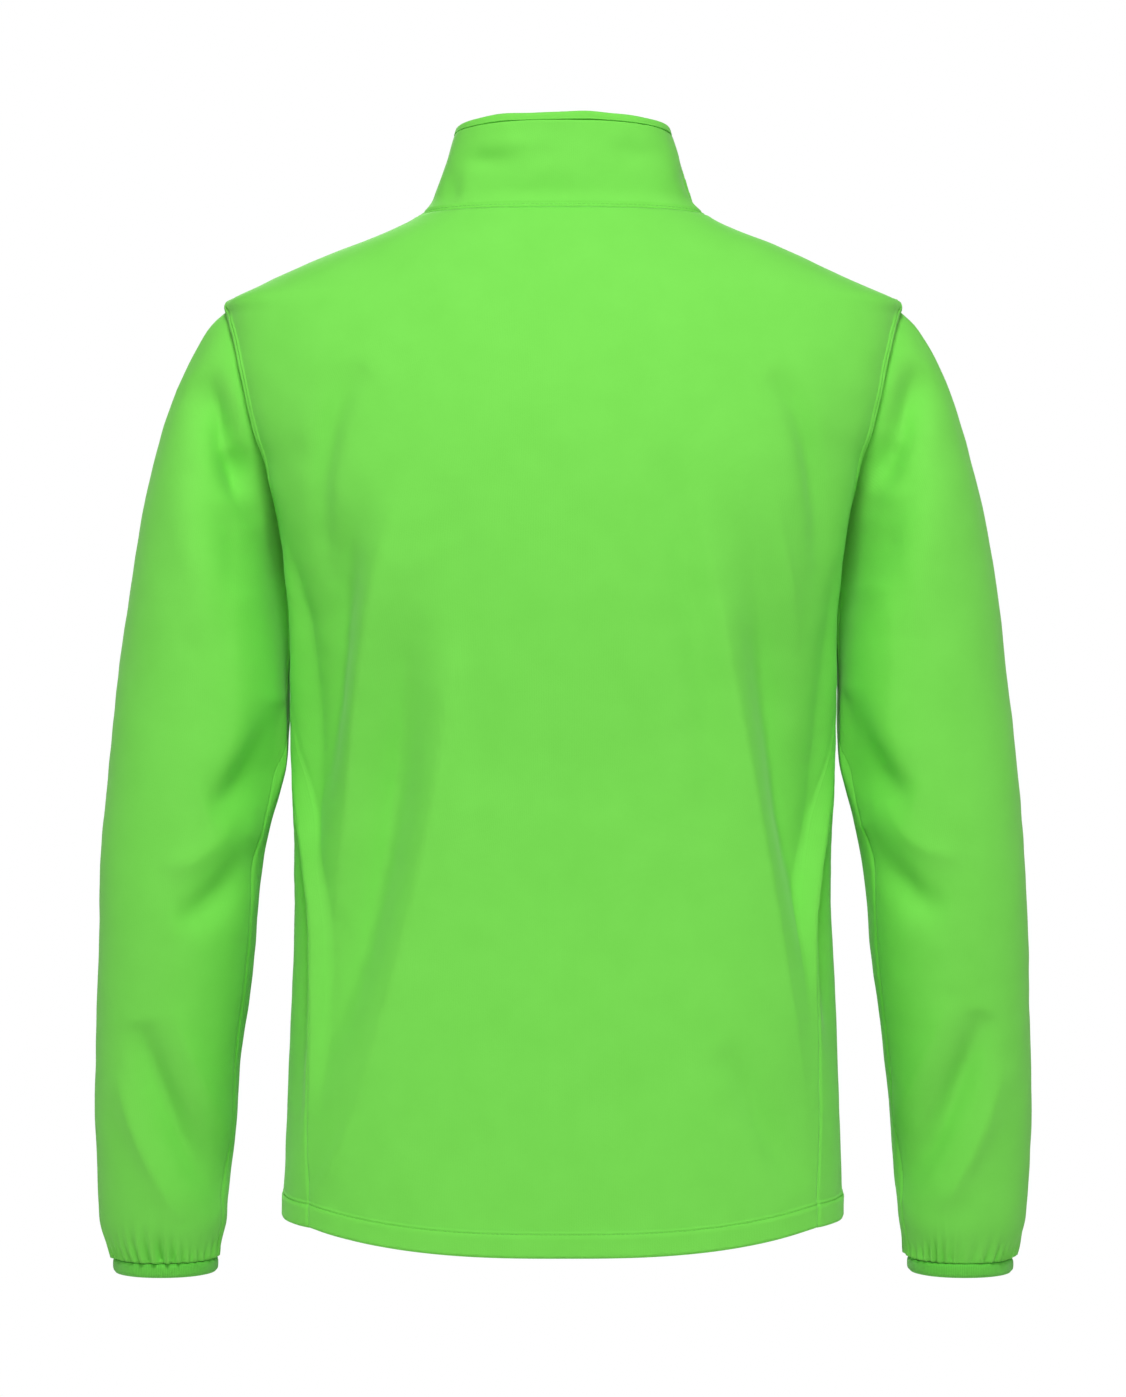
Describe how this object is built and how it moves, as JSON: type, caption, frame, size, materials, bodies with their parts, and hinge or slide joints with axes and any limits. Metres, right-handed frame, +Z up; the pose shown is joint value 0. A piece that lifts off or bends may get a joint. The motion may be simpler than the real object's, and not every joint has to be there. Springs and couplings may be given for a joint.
{
  "type": "softshell jacket",
  "caption": "Zipped long-sleeved softshell jacket with a stand-up collar, bound cuffs and a turned-up hem, filled out hollow as it is worn, sleeves hanging down.",
  "frame": {"origin": "middle of the neck opening, level with the seam of the collar, where the wearer's neck and shoulders hold the jacket", "axes": "+Z up towards the collar, -Y out of the zipped front, +X towards the wearer's left sleeve"},
  "size_m": [0.6404, 0.2565, 0.7848],
  "materials": {
    "softshell": "matte, fine smooth knit face, soft nap",
    "cuff_binding": "matte elastic binding",
    "zip_tape": "matte woven tape",
    "zip_coil": "satin nylon coil",
    "zip_slider": "satin metal"
  },
  "bodies": {
    "jacket": {"back": "softshell", "front_l": "softshell", "front_r": "softshell", "sleeve_upper_l": "softshell", "sleeve_upper_r": "softshell", "sleeve_under_l": "softshell", "sleeve_under_r": "softshell", "cuff_l": "cuff_binding", "cuff_r": "cuff_binding", "collar": "softshell", "collar_facing": "softshell", "zip_tape_l": "zip_tape", "zip_tape_r": "zip_tape", "zip_chain": "zip_coil", "zip_slider": "zip_slider"},
    "zip_pull": {"zip_pull": "zip_slider"}
  },
  "joints": [
    {"name": "zip_pull_hinge", "type": "hinge", "parent": "jacket", "child": "zip_pull", "pos_m": [0, -0.08159, -0.01732], "axis": [-1, 0, 0], "range_deg": [0, 165]}
  ]
}
